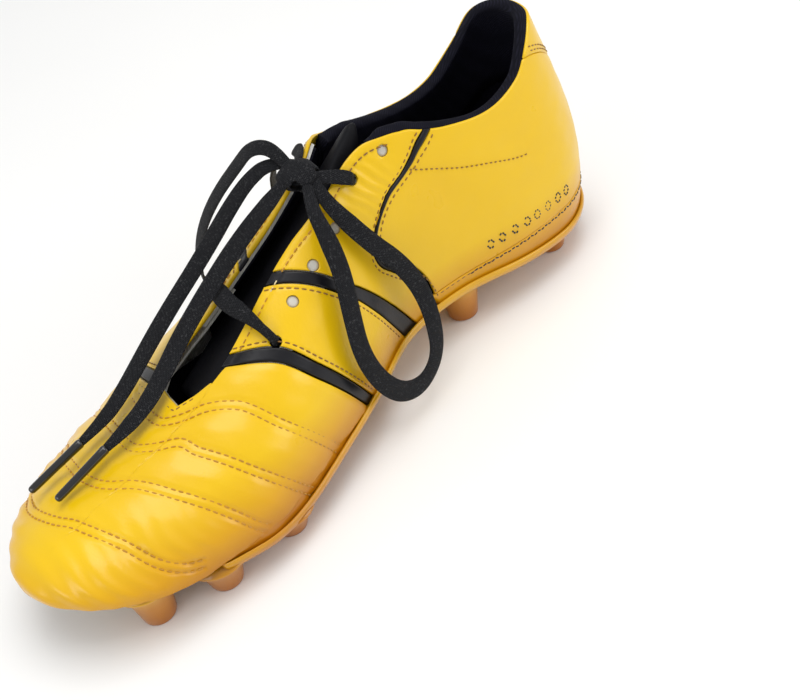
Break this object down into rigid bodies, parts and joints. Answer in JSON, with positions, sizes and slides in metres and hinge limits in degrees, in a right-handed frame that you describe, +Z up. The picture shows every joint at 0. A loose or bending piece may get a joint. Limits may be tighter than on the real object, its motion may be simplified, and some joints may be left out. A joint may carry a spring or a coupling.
{
  "type": "soccer cleat",
  "caption": "Low-cut right-foot soccer cleat with quilted toe box, offset lacing, padded collar, hinged tongue and moulded conical studs.",
  "frame": {"origin": "on the ground under the studs, in the middle of the shoe's length and width, lace left out", "axes": "+X towards the toe, +Y towards the medial side of this right shoe, +Z up"},
  "size_m": [0.2874, 0.111, 0.1051],
  "materials": {
    "upper_yellow": "glossy coated synthetic leather",
    "stripe_black": "satin coated synthetic leather",
    "outsole": "glossy moulded plastic",
    "lining_black": "smooth knitted lining",
    "lining_white": "woven backing cloth",
    "foam": "open-cell foam",
    "board": "fibre board",
    "lace": "flat woven polyester lace",
    "aglet": "clear film over black lace"
  },
  "bodies": {
    "shoe": {"outsole": "outsole", "insole_board": "board", "sockliner": "lining_black", "vamp": "upper_yellow", "vamp_foam": "foam", "toe_puff": "board", "vamp_lining": "lining_white", "medial_front_stripe": "stripe_black", "medial_mid_panel": "upper_yellow", "medial_rear_stripe": "stripe_black", "medial_waist_panel": "upper_yellow", "medial_piping": "stripe_black", "medial_quarter": "upper_yellow", "medial_eyestay_backing": "lining_white", "medial_quarter_lining": "lining_black", "lateral_front_stripe": "stripe_black", "lateral_mid_panel": "upper_yellow", "lateral_rear_stripe": "stripe_black", "lateral_waist_panel": "upper_yellow", "lateral_piping": "stripe_black", "lateral_quarter": "upper_yellow", "lateral_eyestay_backing": "lining_white", "lateral_quarter_lining": "lining_black", "heel_tab": "upper_yellow", "heel_foxing": "upper_yellow", "heel_counter": "board", "collar_foam": "foam", "collar_lining": "lining_black", "lace_held": "lace", "lace_medial_loop": "lace", "lace_lateral_loop": "lace", "lace_outer_end": "lace", "lace_inner_end": "lace", "lace_knot": "lace", "outer_aglet": "aglet", "inner_aglet": "aglet"},
    "tongue": {"tongue_cover": "stripe_black", "tongue_foam": "foam", "tongue_lining": "lining_black"}
  },
  "joints": [
    {"name": "tongue_hinge", "type": "hinge", "parent": "shoe", "child": "tongue", "pos_m": [0.0595, 0.006, 0.046], "axis": [0, -1, 0], "range_deg": [0, 10], "stiffness_Nm_per_rad": 0.12}
  ]
}
